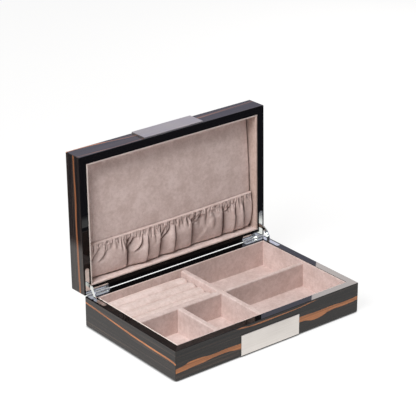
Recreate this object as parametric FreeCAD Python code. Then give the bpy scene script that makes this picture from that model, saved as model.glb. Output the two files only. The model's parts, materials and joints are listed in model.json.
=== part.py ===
import FreeCAD, Part
import math
import os

Vector = FreeCAD.Vector

# Valet box: a low hinged case with a suede interior, shown with its lid standing open.
# Millimetres. Origin at the centre of the base's underside, X along the width, Y to the back, Z up.
# The lid and its pieces are laid out closed and then turned open about the hinge axis.

# Case
case_width = 306.0
case_depth = 192.5
base_height = 42.8
lid_height = 29.8
wall = 11.0
edge_radius = 1.0
rim_radius = 0.5
rim_gap = 0.3
open_angle = 91.2
overrun = 5.0

# Panels and felt
felt_thickness = 0.8
felt_inset = 2.0
bottom_thickness = 3.8
lid_top_thickness = 5.8

# Front plates
plate_width = 97.0
base_plate_height = 28.8
base_plate_foot = 0.6
base_plate_thickness = 1.0
lid_plate_margin = 0.6
lid_plate_thickness = 2.0
plate_edge_radius = 0.25

# Linings of suede-covered card
lining = 2.4
lining_drop = 0.3
lining_round = 0.6
floor_lining = 1.2

# Dividers
divider_drop = 3.0
divider_round = 1.8
centre_divider_x = -0.5
centre_divider_thickness = 8.0
right_cross_y = 1.7
right_cross_thickness = 6.0
left_cross_y = 2.3
left_cross_thickness = 10.0
small_divider_x = -73.0
small_divider_thickness = 8.0

# Ring rolls
roll_pitch = 18.5
roll_width = 17.9
roll_drop = 8.4
roll_shoulder = 6.5
roll_crown = 0.5
roll_back_gap = 0.6
roll_end_gap = 0.4
roll_divider_gap = 1.5
roll_station_shares = (0.0, 0.03, 0.5, 0.97, 1.0)
roll_narrow_shares = (0.86, 1.0, 1.0, 1.0, 0.86)
roll_sink = 2.2

# Hinge leaves
axis_out = 0.5
leaf_thickness = 1.5
leaf_fit = 0.1
arm_width = 6.0
side_arm_length = 38.0
back_arm_length = 39.0
back_arm_width = 7.5
knuckle_count = 5
knuckle_radius = 2.4
knuckle_gap = 0.3
knuckle_relief = 0.4
pin_radius = 0.9
pin_fit = 0.02
pin_running_fit = 0.05

# Leaf screws
screw_head_radius = 1.7
screw_head_depth = 1.0
screw_shank_radius = 0.8
screw_length = 9.0
screw_fit = 0.03
screw_slot_width = 0.5
screw_slot_depth = 0.5
screw_end_distance = 5.0
screw_second_distance = 18.0

# Curved stays
stay_radius = 16.0
stay_width = 5.0
stay_thickness = 1.6
stay_clearance = 0.3
stay_pin_radius = 1.0
stay_pin_length = 3.8
stay_pin_fit = 0.02
mortise_clearance = 0.7
mortise_spare_angle = 2.5
slot_half_angle = 20.0

# Lid board and pad
board_thickness = 2.0
board_gap = 0.3
pad_side_gap = 0.3
pad_edge_thickness = 9.5
pad_crown = 2.0
pad_fall = 6.5
pad_fall_length = 100.0
pad_high_y = 30.0
pad_side_bulge = 0.4
pad_side_draw = 0.8
pad_station_shares = (-1.0, -0.8, -0.55, -0.25, 0.05, 0.35, 0.6, 0.8, 1.0)

# Pocket with its casing and elastic
pocket_clearance = 0.5
pocket_end_gap = 0.7
pocket_top_y = 30.5
casing_height = 6.5
casing_thickness = 2.2
casing_wall = 0.6
tape_fit = 0.1
pocket_bottom_gap = 1.2
cloth = 1.0
fold_height = 3.0

# Valleys between the pocket's folds, as shares of its half width, at the mouth and at the bottom
valley_mouth_shares = (-0.79, -0.74, -0.545, -0.36, -0.155, 0.047, 0.245, 0.44, 0.655, 0.765, 0.84)
valley_bottom_shares = (-0.94, -0.86, -0.545, -0.37, -0.175, 0.02, 0.245, 0.44, 0.62, 0.705, 0.815)
# How far each valley stays off the pad, and how high each fold stands, as shares of the fold height
valley_lift_shares = (0.35, 0.4, 0.0, 0.55, 0.0, 0.25, 0.0, 0.55, 0.0, 0.3, 0.2)
fold_rise_shares = (0.5, 0.25, 0.75, 0.65, 0.65, 0.7, 0.7, 0.65, 0.65, 0.6, 0.5, 0.6)
# Where the pocket's sections lie between mouth and bottom, and how much of the folds each one has
pocket_station_shares = (0.0, 0.15, 0.5, 0.8, 1.0)
pocket_swell_shares = (0.3, 0.75, 1.0, 0.8, 0.25)

# Places worked out from the sizes above
half_width = case_width / 2
half_depth = case_depth / 2
inner_x = half_width - wall
inner_y = half_depth - wall
lined_x = inner_x - lining
lined_y = inner_y - lining
parting_z = base_height
lid_rim_z = parting_z + rim_gap
lid_top_z = parting_z + lid_height
lid_ceiling_z = lid_top_z - lid_top_thickness
board_face_z = lid_ceiling_z - board_thickness
bottom_top_z = felt_thickness + bottom_thickness
floor_z = bottom_top_z + floor_lining
divider_top_z = base_height - divider_drop
axis_y = half_depth + axis_out
arm_x = half_width - wall / 2
side_arm_end_y = half_depth - side_arm_length
back_arm_end_x = half_width - back_arm_length
back_arm_front_y = half_depth - back_arm_width
barrel_start_x = back_arm_end_x
barrel_end_x = arm_x + arm_width / 2
knuckle_pitch = (barrel_end_x - barrel_start_x) / knuckle_count
base_knuckles = range(0, knuckle_count, 2)
lid_knuckles = range(1, knuckle_count, 2)
pad_half_x = lined_x - pad_side_gap
pad_half_y = lined_y - pad_side_gap
pocket_half_x = lined_x - pocket_end_gap
pocket_mouth_y = pocket_top_y + casing_height
pocket_bottom_y = lined_y - pocket_bottom_gap

os.makedirs("parts", exist_ok=True)


def save(name, shape):
    """Write one piece as its own STEP file."""
    shape.exportStep("parts/" + name + ".step")


def block(x0, x1, y0, y1, z0, z1):
    """Box between two corners."""
    return Part.makeBox(x1 - x0, y1 - y0, z1 - z0, Vector(x0, y0, z0))


def rod(radius, x0, x1, y, z):
    """Cylinder along X."""
    return Part.makeCylinder(radius, x1 - x0, Vector(x0, y, z), Vector(1, 0, 0))


def disc(radius, x, y, z0, z1):
    """Cylinder along Z."""
    return Part.makeCylinder(radius, z1 - z0, Vector(x, y, z0))


def joined(shapes):
    """One solid from touching or crossing shapes."""
    return shapes[0].multiFuse(shapes[1:]).removeSplitter()


def gathered(shapes):
    """Separate shapes kept together as one piece or one cutting tool."""
    return Part.makeCompound(shapes)


def mirrored(shape):
    """The left-hand twin of a right-hand shape."""
    return shape.mirror(Vector(0, 0, 0), Vector(1, 0, 0))


def opened(shape):
    """A closed-lid shape turned open about the hinge axis."""
    turned = shape.copy()
    turned.rotate(Vector(0, axis_y, parting_z), Vector(1, 0, 0), -open_angle)
    return turned


def rounded(shape, radius, chosen):
    """Shape with the chosen edges rounded."""
    return shape.makeFillet(radius, [edge for edge in shape.Edges if chosen(edge.BoundBox)])


def on_axis(x, radius, degrees):
    """Point round the hinge axis: 0 degrees points to the front, 90 degrees points up."""
    turn = math.radians(degrees)
    return Vector(x, axis_y - radius * math.cos(turn), parting_z + radius * math.sin(turn))


def arc_bar(inner, outer, start, end, x0, x1):
    """Flat curved bar round the hinge axis, between two radii and two angles."""
    middle = (start + end) / 2
    edges = [
        Part.Arc(on_axis(x0, outer, start), on_axis(x0, outer, middle), on_axis(x0, outer, end)).toShape(),
        Part.makeLine(on_axis(x0, outer, end), on_axis(x0, inner, end)),
        Part.Arc(on_axis(x0, inner, end), on_axis(x0, inner, middle), on_axis(x0, inner, start)).toShape(),
        Part.makeLine(on_axis(x0, inner, start), on_axis(x0, outer, start)),
    ]
    return Part.Face(Part.Wire(edges)).extrude(Vector(x1 - x0, 0, 0))


def mitre_prism(side, z0, z1):
    """Prism that takes one wall out of a frame of four, cut at 45 degrees at its ends."""
    far_x, far_y = half_width + overrun, half_depth + overrun
    near_x, near_y = inner_x - overrun, inner_y - overrun
    outlines = {
        "front": ((-far_x, -far_y), (far_x, -far_y), (near_x, -near_y), (-near_x, -near_y)),
        "back": ((-far_x, far_y), (far_x, far_y), (near_x, near_y), (-near_x, near_y)),
        "left": ((-far_x, -far_y), (-far_x, far_y), (-near_x, near_y), (-near_x, -near_y)),
        "right": ((far_x, -far_y), (far_x, far_y), (near_x, near_y), (near_x, -near_y)),
    }
    corners = [Vector(x, y, z0) for x, y in outlines[side]]
    return Part.Face(Part.makePolygon(corners + corners[:1])).extrude(Vector(0, 0, z1 - z0))


# Hinge leaves, laid out for the right-hand corner
def leaf_plate(z0, z1, grow):
    """L-shaped plate: an arm along the side wall and an arm along the back wall out to the axis."""
    arm = arm_width / 2
    pieces = [
        block(arm_x - arm - grow, arm_x + arm + grow, side_arm_end_y + arm, axis_y, z0, z1),
        disc(arm + grow, arm_x, side_arm_end_y + arm, z0, z1),
        block(back_arm_end_x + arm, arm_x + arm + grow, back_arm_front_y - grow, axis_y, z0, z1),
        block(back_arm_end_x - grow, back_arm_end_x + arm, back_arm_front_y + arm, axis_y, z0, z1),
        disc(arm + grow, back_arm_end_x + arm, back_arm_front_y + arm, z0, z1),
    ]
    return joined(pieces)


def knuckle_rods(indices, grow, lengthen):
    """Knuckle barrels on the hinge axis, one for each index along the row."""
    rods = []
    for index in indices:
        start = barrel_start_x + index * knuckle_pitch + knuckle_gap / 2 - lengthen
        end = barrel_start_x + (index + 1) * knuckle_pitch - knuckle_gap / 2 + lengthen
        rods.append(rod(knuckle_radius + grow, start, end, axis_y, parting_z))
    return rods


def stay_slot():
    """Slot through a leaf for the curved stay, with running room."""
    half = stay_thickness / 2 + stay_clearance
    inner = stay_radius - stay_width / 2 - stay_clearance
    outer = stay_radius + stay_width / 2 + stay_clearance
    return arc_bar(inner, outer, -slot_half_angle, slot_half_angle, arm_x - half, arm_x + half)


def screw_places():
    """Places of a leaf's screws: one near each end, and a second one on the back arm."""
    back_screw_y = back_arm_front_y + arm_width / 2
    return (
        (arm_x, side_arm_end_y + screw_end_distance),
        (back_arm_end_x + screw_end_distance, back_screw_y),
        (back_arm_end_x + screw_second_distance, back_screw_y),
    )


def screw_form(x, y, z, way, grow):
    """Countersunk screw from its flat head inwards; way is -1 down into the base, 1 up into the lid."""
    inwards = Vector(0, 0, way)
    head = Part.makeCone(screw_head_radius + grow, screw_shank_radius + grow, screw_head_depth,
                         Vector(x, y, z), inwards)
    shank = Part.makeCylinder(screw_shank_radius + grow, screw_length + grow, Vector(x, y, z), inwards)
    return joined([head, shank])


def screw(x, y, z, way):
    """Screw with a crossed driver slot in its head."""
    long, thin = screw_shank_radius, screw_slot_width / 2
    deep = way * screw_slot_depth
    low, high = min(z, z + deep), max(z, z + deep)
    across = block(x - long, x + long, y - thin, y + thin, low, high)
    along = block(x - thin, x + thin, y - long, y + long, low, high)
    return screw_form(x, y, z, way, 0).cut(across).cut(along)


def leaf(own, other, face_z, way, pin_hole_radius):
    """One leaf: plate, its own knuckles, pin hole, stay slot and countersunk holes."""
    back_z = face_z + way * leaf_thickness
    plate = leaf_plate(min(face_z, back_z), max(face_z, back_z), 0)
    plate = plate.cut(gathered(knuckle_rods(other, knuckle_gap, knuckle_gap)))
    shape = joined([plate] + knuckle_rods(own, 0, 0))
    pin_hole = rod(pin_hole_radius, barrel_start_x - overrun, barrel_end_x + overrun, axis_y, parting_z)
    shape = shape.cut(pin_hole).cut(stay_slot())
    for x, y in screw_places():
        shape = shape.cut(screw_form(x, y, face_z, way, screw_fit))
    return shape


def hinge_cuts(face_z, way):
    """Everything one hinge takes out of the walls: leaf recess, stay mortise, barrel room, screw holes."""
    low = min(face_z - way * overrun, face_z + way * leaf_thickness)
    high = max(face_z - way * overrun, face_z + way * leaf_thickness)
    half = stay_pin_length / 2 + mortise_clearance
    inner = stay_radius - stay_width / 2 - mortise_clearance
    outer = stay_radius + stay_width / 2 + mortise_clearance
    near, far = -way * slot_half_angle, way * stay_reach_angle()
    cuts = [
        leaf_plate(low, high, leaf_fit),
        arc_bar(inner, outer, near, far, arm_x - half, arm_x + half),
        rod(knuckle_radius + knuckle_relief, barrel_start_x - knuckle_gap, barrel_end_x + knuckle_gap,
            axis_y, parting_z),
    ]
    for x, y in screw_places():
        cuts.append(screw_form(x, y, face_z, way, screw_fit))
    return cuts + [mirrored(cut) for cut in cuts]


# Curved stays: each turns by half the lid's angle, so its two ends sink alike into base and lid
def stay_pin_angle():
    """Angle from a rim plane to the cross pin that stops under the leaf."""
    depth = rim_gap + leaf_thickness + stay_clearance + stay_pin_radius
    return math.degrees(depth / stay_radius)


def stay_reach_angle():
    """Angle below the rim that a stay's end reaches with the lid shut, and spare room."""
    end_angle = math.degrees(stay_width / 2 / stay_radius)
    return open_angle / 2 + stay_pin_angle() + end_angle + mortise_spare_angle


def stay_pin(degrees, grow):
    """Cross pin through one end of the right-hand stay."""
    centre = on_axis(arm_x, stay_radius, degrees)
    half = stay_pin_length / 2
    return rod(stay_pin_radius + grow, arm_x - half, arm_x + half, centre.y, centre.z)


def stay_arm():
    """Right-hand stay in the open pose: curved bar with round ends and pin holes."""
    low, high = -stay_pin_angle(), open_angle + stay_pin_angle()
    x0, x1 = arm_x - stay_thickness / 2, arm_x + stay_thickness / 2
    half = stay_width / 2
    pieces = [arc_bar(stay_radius - half, stay_radius + half, low, high, x0, x1)]
    for degrees in (low, high):
        centre = on_axis(arm_x, stay_radius, degrees)
        pieces.append(rod(half, x0, x1, centre.y, centre.z))
    return joined(pieces).cut(stay_pin(low, stay_pin_fit)).cut(stay_pin(high, stay_pin_fit))


right_base_leaf = leaf(base_knuckles, lid_knuckles, parting_z, -1, pin_radius + pin_fit)
right_lid_leaf = leaf(lid_knuckles, base_knuckles, lid_rim_z, 1, pin_radius + pin_running_fit)
right_pin = rod(pin_radius, barrel_start_x, barrel_end_x, axis_y, parting_z)
base_screws = [screw(x, y, parting_z, -1) for x, y in screw_places()]
lid_screws = [screw(x, y, lid_rim_z, 1) for x, y in screw_places()]
low_pin, high_pin = stay_pin(-stay_pin_angle(), 0), stay_pin(open_angle + stay_pin_angle(), 0)
right_stay_pins = gathered([low_pin, high_pin])

save("right_base_leaf", right_base_leaf)
save("left_base_leaf", mirrored(right_base_leaf))
save("base_leaf_screws", gathered(base_screws + [mirrored(one) for one in base_screws]))
save("right_hinge_pin", right_pin)
save("left_hinge_pin", mirrored(right_pin))
save("right_lid_leaf", opened(right_lid_leaf))
save("left_lid_leaf", opened(mirrored(right_lid_leaf)))
save("lid_leaf_screws", opened(gathered(lid_screws + [mirrored(one) for one in lid_screws])))
save("right_stay_arm", stay_arm())
save("left_stay_arm", mirrored(stay_arm()))
save("right_stay_pins", right_stay_pins)
save("left_stay_pins", mirrored(right_stay_pins))

# Base walls: a rounded block, hollowed and mitred into four boards
base_block = block(-half_width, half_width, -half_depth, half_depth, felt_thickness, base_height)
base_block = rounded(base_block, edge_radius,
                     lambda box: box.ZLength > edge_radius or box.ZMax < felt_thickness + edge_radius)
base_block = rounded(base_block, rim_radius, lambda box: box.ZMin > base_height - rim_radius)
base_cavity = block(-inner_x, inner_x, -inner_y, inner_y, felt_thickness - overrun, base_height + overrun)
base_frame = base_block.cut(base_cavity).cut(gathered(hinge_cuts(parting_z, -1)))
for side in ("front", "back", "left", "right"):
    save("base_" + side + "_wall", base_frame.common(mitre_prism(side, 0, base_height + overrun)))

save("base_bottom_panel", block(-inner_x, inner_x, -inner_y, inner_y, felt_thickness, bottom_top_z))
felt_x, felt_y = half_width - felt_inset, half_depth - felt_inset
save("base_felt_sheet", block(-felt_x, felt_x, -felt_y, felt_y, 0, felt_thickness))

base_plate_z = felt_thickness + base_plate_foot
base_plate = block(-plate_width / 2, plate_width / 2, -half_depth - base_plate_thickness, -half_depth,
                   base_plate_z, base_plate_z + base_plate_height)
save("base_front_plate", rounded(base_plate, plate_edge_radius, lambda box: box.YMax < -half_depth))

# Base linings: the front and back ones run the full width, the side ones fit between them
save("base_floor_lining", block(-inner_x, inner_x, -inner_y, inner_y, bottom_top_z, floor_z))


def lining_board(x0, x1, y0, y1, z0, z1, rim_z):
    """Suede-covered card with rounded long edges at the rim."""
    long_x = x1 - x0 > y1 - y0
    board = block(x0, x1, y0, y1, z0, z1)
    return rounded(board, lining_round,
                   lambda box: abs(box.ZMin - rim_z) + abs(box.ZMax - rim_z) < lining_round
                   and (box.XLength if long_x else box.YLength) > lining)


def lining_set(prefix, z0, z1, rim_z, place):
    """Four lining boards round the inside of a frame."""
    boards = {
        "front": (-inner_x, inner_x, -inner_y, -lined_y),
        "back": (-inner_x, inner_x, lined_y, inner_y),
        "left": (-inner_x, -lined_x, -lined_y, lined_y),
        "right": (lined_x, inner_x, -lined_y, lined_y),
    }
    for side, (x0, x1, y0, y1) in boards.items():
        save(prefix + "_lining_" + side, place(lining_board(x0, x1, y0, y1, z0, z1, rim_z)))


def as_built(shape):
    """A base piece stays where it is built."""
    return shape


lining_rim_z = base_height - lining_drop
lining_set("base", floor_z, lining_rim_z, lining_rim_z, as_built)


# Dividers with rounded tops
def divider(x0, x1, y0, y1):
    """Suede-covered board on the floor, its two long top edges rounded."""
    long_x = x1 - x0 > y1 - y0
    board = block(x0, x1, y0, y1, floor_z, divider_top_z)
    thickness = min(x1 - x0, y1 - y0)
    return rounded(board, divider_round,
                   lambda box: box.ZMin > divider_top_z - divider_round
                   and (box.XLength if long_x else box.YLength) > thickness)


centre_left_x = centre_divider_x - centre_divider_thickness / 2
centre_right_x = centre_divider_x + centre_divider_thickness / 2
left_cross_front_y = left_cross_y - left_cross_thickness / 2
left_cross_back_y = left_cross_y + left_cross_thickness / 2
right_cross_front_y = right_cross_y - right_cross_thickness / 2
right_cross_back_y = right_cross_y + right_cross_thickness / 2
small_left_x = small_divider_x - small_divider_thickness / 2
small_right_x = small_divider_x + small_divider_thickness / 2
save("centre_divider", divider(centre_left_x, centre_right_x, -lined_y, lined_y))
save("right_cross_divider", divider(centre_right_x, lined_x, right_cross_front_y, right_cross_back_y))
save("left_cross_divider", divider(-lined_x, centre_left_x, left_cross_front_y, left_cross_back_y))
save("small_divider", divider(small_left_x, small_right_x, -lined_y, left_cross_front_y))


# Ring rolls: tall foam strips with round tops and drawn-in ends
def roll_section(x, y, narrow_share, sink, crown):
    """Outline of a roll across its length: flat foot, straight flanks and a round top."""
    half = roll_width / 2 * narrow_share
    crest = base_height - roll_drop - sink + crown
    shoulder = crest - roll_shoulder
    foot_left, foot_right = Vector(x, y - half, floor_z), Vector(x, y + half, floor_z)
    left, right = Vector(x, y - half, shoulder), Vector(x, y + half, shoulder)
    edges = [
        Part.makeLine(foot_left, foot_right),
        Part.makeLine(foot_right, right),
        Part.Arc(right, Vector(x, y, crest), left).toShape(),
        Part.makeLine(left, foot_left),
    ]
    return Part.Wire(edges)


def ring_roll(y):
    """Roll from the left lining to just short of the centre divider."""
    start, end = -lined_x + roll_end_gap, centre_left_x - roll_divider_gap
    sections = []
    for station, narrow in zip(roll_station_shares, roll_narrow_shares):
        at_end = station in (roll_station_shares[0], roll_station_shares[-1])
        crown = roll_crown * (1 - (2 * station - 1) ** 2)
        x = start + station * (end - start)
        sections.append(roll_section(x, y, narrow, roll_sink if at_end else 0, crown))
    return Part.makeLoft(sections, True, True)


# As many rolls as the bay behind the left cross divider takes
roll_count = int((lined_y - left_cross_back_y) / roll_pitch)
first_roll_y = lined_y - roll_back_gap - roll_width / 2
for number in range(roll_count):
    save("ring_roll_" + str(number + 1), ring_roll(first_roll_y - number * roll_pitch))

# Lid walls and top panel: a rounded block, hollowed, with the top cut off and the sides mitred
lid_block = block(-half_width, half_width, -half_depth, half_depth, lid_rim_z, lid_top_z)
lid_block = rounded(lid_block, edge_radius,
                    lambda box: box.ZLength > edge_radius or box.ZMin > lid_top_z - edge_radius)
lid_block = rounded(lid_block, rim_radius, lambda box: box.ZMax < lid_rim_z + rim_radius)
far_x, far_y = half_width + overrun, half_depth + overrun
lid_top = lid_block.common(block(-far_x, far_x, -far_y, far_y, lid_ceiling_z, lid_top_z + overrun))
lid_cavity = block(-inner_x, inner_x, -inner_y, inner_y, lid_rim_z - overrun, lid_ceiling_z)
lid_frame = lid_block.cut(lid_cavity).cut(gathered(hinge_cuts(lid_rim_z, 1)))
save("lid_top_panel", opened(lid_top))
for side in ("front", "back", "left", "right"):
    wall_board = lid_frame.common(mitre_prism(side, lid_rim_z - overrun, lid_ceiling_z))
    save("lid_" + side + "_wall", opened(wall_board))

lid_plate = block(-plate_width / 2, plate_width / 2, -half_depth - lid_plate_thickness, -half_depth,
                  lid_rim_z + lid_plate_margin, lid_top_z - lid_plate_margin)
save("lid_front_plate", opened(rounded(lid_plate, plate_edge_radius, lambda box: box.YMax < -half_depth)))
lid_lining_rim_z = lid_rim_z + lining_drop
lining_set("lid", lid_lining_rim_z, lid_ceiling_z, lid_lining_rim_z, opened)

board_x, board_y = lined_x - board_gap, lined_y - board_gap
save("lid_backing_board", opened(block(-board_x, board_x, -board_y, board_y, board_face_z, lid_ceiling_z)))


# Lid pad: deepest near the pocket's mouth, falling off towards the lid's front edge
def pad_edge_z(y):
    """Height of the pad's surface along its two sides."""
    return board_face_z - pad_edge_thickness + pad_fall * ((y - pad_high_y) / pad_fall_length) ** 2


def pad_z(x, y):
    """Height of the pad's crowned surface."""
    return pad_edge_z(y) - pad_crown * (1 - (x / pad_half_x) ** 2)


def pad_section(y):
    """Outline of the pad across its width: flat back, bulging sides and a crowned face."""
    half = pad_half_x - pad_side_bulge - pad_side_draw * (1 - (y / pad_half_y) ** 2)
    edge = pad_edge_z(y)
    middle = (edge + board_face_z) / 2
    edges = [
        Part.makeLine(Vector(-half, y, board_face_z), Vector(half, y, board_face_z)),
        Part.Arc(Vector(half, y, board_face_z), Vector(half + pad_side_bulge, y, middle),
                 Vector(half, y, edge)).toShape(),
        Part.Arc(Vector(half, y, edge), Vector(0, y, pad_z(0, y)), Vector(-half, y, edge)).toShape(),
        Part.Arc(Vector(-half, y, edge), Vector(-half - pad_side_bulge, y, middle),
                 Vector(-half, y, board_face_z)).toShape(),
    ]
    return Part.Wire(edges)


pad_sections = [pad_section(share * pad_half_y) for share in pad_station_shares]
save("lid_pad", opened(Part.makeLoft(pad_sections, True, False)))


# Pocket casing and elastic: bands that follow the pad's crown across the lid
def crowned_band(y0, y1, near, far, end_gap):
    """Band across the lid, between two distances off the pad."""
    half = pocket_half_x - end_gap
    middle = (y0 + y1) / 2

    def curve(off):
        return Part.Arc(Vector(-half, y0, pad_z(half, middle) - off), Vector(0, y0, pad_z(0, middle) - off),
                        Vector(half, y0, pad_z(half, middle) - off)).toShape()

    inner, outer = curve(near), curve(far)
    ends = [Part.makeLine(inner.Vertexes[place].Point, outer.Vertexes[place].Point) for place in (0, -1)]
    outline = Part.Wire(Part.__sortEdges__([inner, ends[1], outer, ends[0]]))
    return Part.Face(outline).extrude(Vector(0, y1 - y0, 0))


tape_near = pocket_clearance + casing_wall
tape_far = pocket_clearance + casing_thickness - casing_wall
casing = crowned_band(pocket_top_y, pocket_mouth_y, pocket_clearance, pocket_clearance + casing_thickness, 0)
tunnel = crowned_band(pocket_top_y + casing_wall, pocket_mouth_y - casing_wall, tape_near, tape_far, -overrun)
tape = crowned_band(pocket_top_y + casing_wall + tape_fit, pocket_mouth_y - casing_wall - tape_fit,
                    tape_near + tape_fit, tape_far - tape_fit, 0)
save("pocket_casing", opened(casing.cut(tunnel)))
save("pocket_elastic", opened(tape))


# Pocket cloth: round folds between valleys, fullest half way down and drawn in at mouth and bottom
def pocket_section(station, swell):
    """Closed outline across the pocket: folded outer face, end, folded inner face, end."""
    y = pocket_mouth_y + station * (pocket_bottom_y - pocket_mouth_y)
    shares = [-1.0]
    for mouth, bottom in zip(valley_mouth_shares, valley_bottom_shares):
        shares.append(mouth + station * (bottom - mouth))
    shares.append(1.0)
    lifts = (0.0,) + valley_lift_shares + (0.0,)

    def face(off):
        valleys = []
        for share, lift in zip(shares, lifts):
            x = share * pocket_half_x
            valleys.append(Vector(x, y, pad_z(x, y) - off - lift * swell * fold_height))
        arcs = []
        for left, right, rise in zip(valleys, valleys[1:], fold_rise_shares):
            crest = (left + right) / 2 - Vector(0, 0, rise * swell * fold_height)
            arcs.append(Part.Arc(left, crest, right).toShape())
        return valleys, arcs

    outer_points, outer_arcs = face(pocket_clearance + cloth)
    inner_points, inner_arcs = face(pocket_clearance)
    right_end = Part.makeLine(outer_points[-1], inner_points[-1])
    left_end = Part.makeLine(inner_points[0], outer_points[0])
    return Part.Wire(outer_arcs + [right_end] + inner_arcs[::-1] + [left_end])


pocket_sections = []
for station, swell in zip(pocket_station_shares, pocket_swell_shares):
    pocket_sections.append(pocket_section(station, swell))
save("lid_pocket", opened(Part.makeLoft(pocket_sections, True, True)))
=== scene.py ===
import json
import math
import bmesh
import bpy
import numpy as np
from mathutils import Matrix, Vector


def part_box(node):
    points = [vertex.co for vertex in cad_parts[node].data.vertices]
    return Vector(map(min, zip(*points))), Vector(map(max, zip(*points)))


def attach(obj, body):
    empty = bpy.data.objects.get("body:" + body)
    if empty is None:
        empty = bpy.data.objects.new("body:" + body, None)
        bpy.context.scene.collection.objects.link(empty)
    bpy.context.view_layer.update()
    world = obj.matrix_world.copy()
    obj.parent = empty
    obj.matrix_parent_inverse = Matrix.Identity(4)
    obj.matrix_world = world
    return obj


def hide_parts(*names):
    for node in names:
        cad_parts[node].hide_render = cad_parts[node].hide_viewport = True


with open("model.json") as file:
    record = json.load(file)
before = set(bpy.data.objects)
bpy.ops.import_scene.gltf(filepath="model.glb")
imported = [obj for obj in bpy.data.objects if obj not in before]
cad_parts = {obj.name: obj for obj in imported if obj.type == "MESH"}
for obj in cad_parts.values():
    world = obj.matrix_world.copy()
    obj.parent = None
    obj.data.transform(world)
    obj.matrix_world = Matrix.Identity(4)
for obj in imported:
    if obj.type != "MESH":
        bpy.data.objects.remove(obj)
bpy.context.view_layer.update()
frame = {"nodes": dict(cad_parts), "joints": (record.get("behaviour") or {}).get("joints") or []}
nodes = frame["nodes"]

# Valet box with its lid open: lacquered ebony veneer, suede lining, satin plates and chromed hinges.
# Metres, in the frame of the model: X along the width, Y to the back, Z up.
X, Y, Z = 0, 1, 2

# Lid pad, in the closed layout
pad_edge_thickness = 0.0095
pad_crown = 0.002
pad_fall_to_front = 0.0065
pad_fall_to_hinge = 0.0150
pad_fall_length = 0.1
pad_high_y = 0.03
pad_edge_round = 0.0032
pad_draw = 0.0008
pad_ripple = 0.00022
# Waves of the ripple: rate, bend and rate of the bend
pad_wave_across = (95, 1.7, 61)
pad_wave_down = (120, 1.3, 43)
# Width of the painted shade along the pad's side seams
pad_seam = 0.0035
pad_columns = 161
pad_rows = 101

# Pocket, in the closed layout
hem_height = 0.0036
hem_stand = 0.0046
hem_lip = 0.0008
tape_cover = 0.0025
tape_end = 0.0060
tape_fade = 0.002
cloth_stand = 0.0012
cloth_thickness = 0.0005
cloth_least = 0.0007
cloth_rest_softness = 0.0002
cloth_rows = 62
cloth_row_power = 1.18
hem_rows = 15
hem_row_power = 1.15
fold_height = 0.0085
mouth_slopes = (-0.0045, -0.013)
bottom_tuck = 0.0034
side_tuck = 0.0034
right_end_width = 0.02
right_end_station_shares = (0, 0.3, 0.55, 0.78, 1)
right_end_shifts = (-0.0006, 0.0002, 0.0003, -0.0004, -0.0048)
rib_depth = 0.0007
rib_length = 0.0035
rib_waves = 2
rib_lip_share = 0.4
gather_start = 0.0008
gather_fade = 0.003
gather_seed = 7
gather_scatter_share = 0.3
gather_lean_share = 0.25
gather_bend_power = 1.5
gather_length_power = 2
gather_depth_shares = (0.55, 1.1)
gather_widen_share = 1.2
gather_width_shares = (0.85, 1.2)
# Pitch, depth, width, shortest and longest length, and the seed of the draws
long_gathers = (0.0105, 0.0016, 0.0022, (0.020, 0.046), 3)
short_gathers = (0.0050, 0.0052, 0.0008, (0.013, 0.028), 8)
crease_depth = 0.0038
crease_edge = 0.0014
crease_slope = 0.0042
crease_ridge = 0.0014
crease_ridge_width = 0.0024
crease_start_fade = 0.003
crease_end_fade_share = 0.35
crease_degree = 3
hem_hold_share = 0.2
hem_blend = 0.015
hem_swell = 0.0018
hem_swell_reach = 0.009
# A crease's painted shade is judged by its depth below the crests within a reach, and below the mean over a
# width
crest_reach = 0.012
crest_fall = 0.0090
crest_share = 0.55
mean_width = 0.006
mean_fall = 0.0014
mean_share = 1.0
lip_shade_share = 0.15
lip_shade_reach = 0.010
pocket_column = 0.00047
fold_least_columns = 8
fold_crowding_share = 0.11
fold_crowding_rate = 5
fold_climb = 1.15
fold_drop_power = 9
swell_soft_rows = 6
valley_mouth_shares = (-1, -0.549, -0.313, -0.158, 0.014, 0.222, 0.6265, 0.773, 0.847, 1)
valley_bottom_shares = (-1, -0.543, -0.334, -0.173, 0.004, 0.228, 0.624, 0.758, 0.893, 1)
valley_lift_shares = (0.3, 0, 0.62, 0, 0.40, 0, 0, 0.42, 0.42, 0.2)
fold_rise_shares = (0.75, 0.7, 0.8, 0.72, 0.8, 0.85, 0.7, 0.65, 0.55)
swell_station_shares = (0, 0.15, 0.5, 0.8, 1)
swell_shares = (0.6, 0.9, 1, 0.95, 0.7)
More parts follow.
